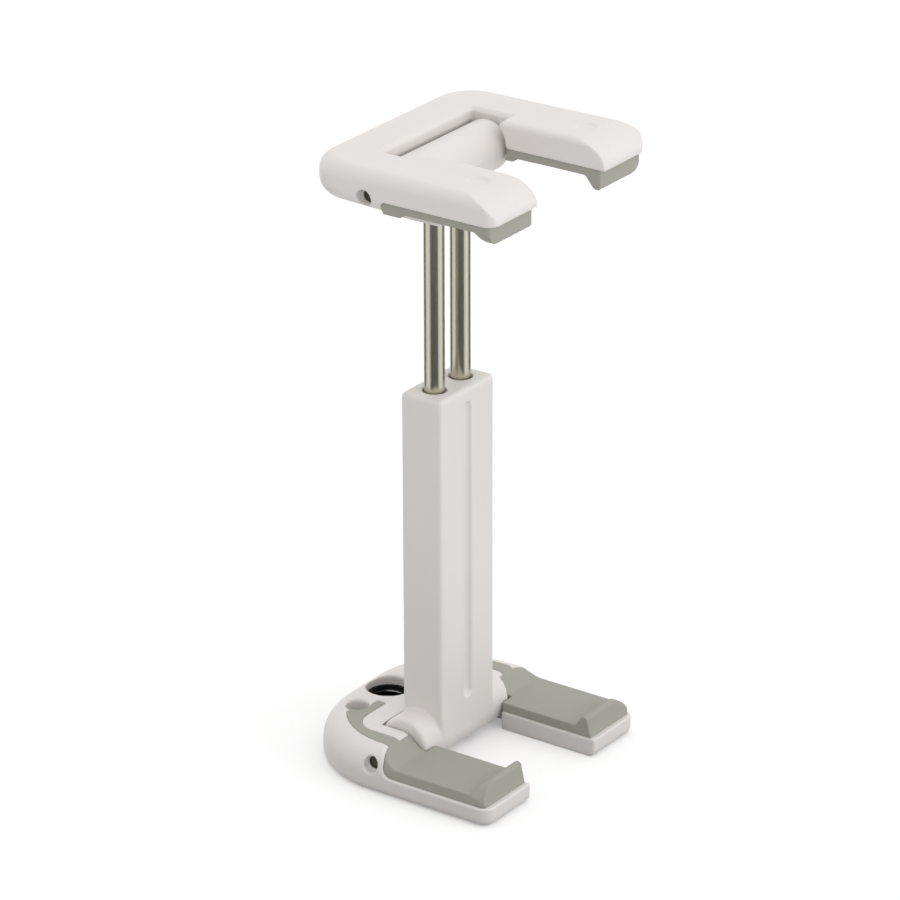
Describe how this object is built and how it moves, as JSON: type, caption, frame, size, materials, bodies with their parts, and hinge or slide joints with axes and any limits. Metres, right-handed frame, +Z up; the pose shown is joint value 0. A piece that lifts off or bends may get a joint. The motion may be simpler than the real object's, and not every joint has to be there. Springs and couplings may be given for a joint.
{
  "type": "tripod phone clamp",
  "caption": "Folding spring clamp that grips a phone between two padded U-shaped jaws on sliding steel tubes, with a tripod socket in its base.",
  "frame": {"origin": "centre of the tripod socket's mouth, on the underside that the clamp stands on", "axes": "+Z up along the column, +X across the width, both jaws point towards -Y"},
  "size_m": [0.0442, 0.0431, 0.11],
  "materials": {
    "white_plastic": "warm white moulded plastic, fine satin texture",
    "grey_rubber": "soft grey rubber, matt",
    "tube_steel": "drawn stainless tube, bright",
    "pin_steel": "bright steel pin",
    "spring_steel": "drawn spring wire",
    "dark_steel": "blackened steel with a bright cut thread"
  },
  "bodies": {
    "base": {"lower_jaw": "white_plastic", "lower_left_pad": "grey_rubber", "lower_right_pad": "grey_rubber", "tripod_insert": "dark_steel", "lower_hinge_pin": "pin_steel"},
    "post": {"column": "white_plastic", "left_spring": "spring_steel", "right_spring": "spring_steel"},
    "slider": {"head_block": "white_plastic", "left_rod": "tube_steel", "right_rod": "tube_steel", "left_rod_collar": "pin_steel", "right_rod_collar": "pin_steel"},
    "top_jaw": {"upper_jaw": "white_plastic", "upper_left_pad": "grey_rubber", "upper_right_pad": "grey_rubber", "upper_hinge_pin": "pin_steel"}
  },
  "joints": [
    {"name": "base_fold", "type": "hinge", "parent": "base", "child": "post", "pos_m": [0, -0.01185, 0.0047], "axis": [1, 0, 0], "range_deg": [0, 90]},
    {"name": "clamp_slide", "type": "slide", "parent": "post", "child": "slider", "axis": [0, 0, 1], "range_m": [-0.03, 0], "deforming": ["left_spring", "right_spring"]},
    {"name": "jaw_fold", "type": "hinge", "parent": "slider", "child": "top_jaw", "pos_m": [0, -0.01185, 0.10535], "axis": [1, 0, 0], "range_deg": [0, 90]}
  ]
}
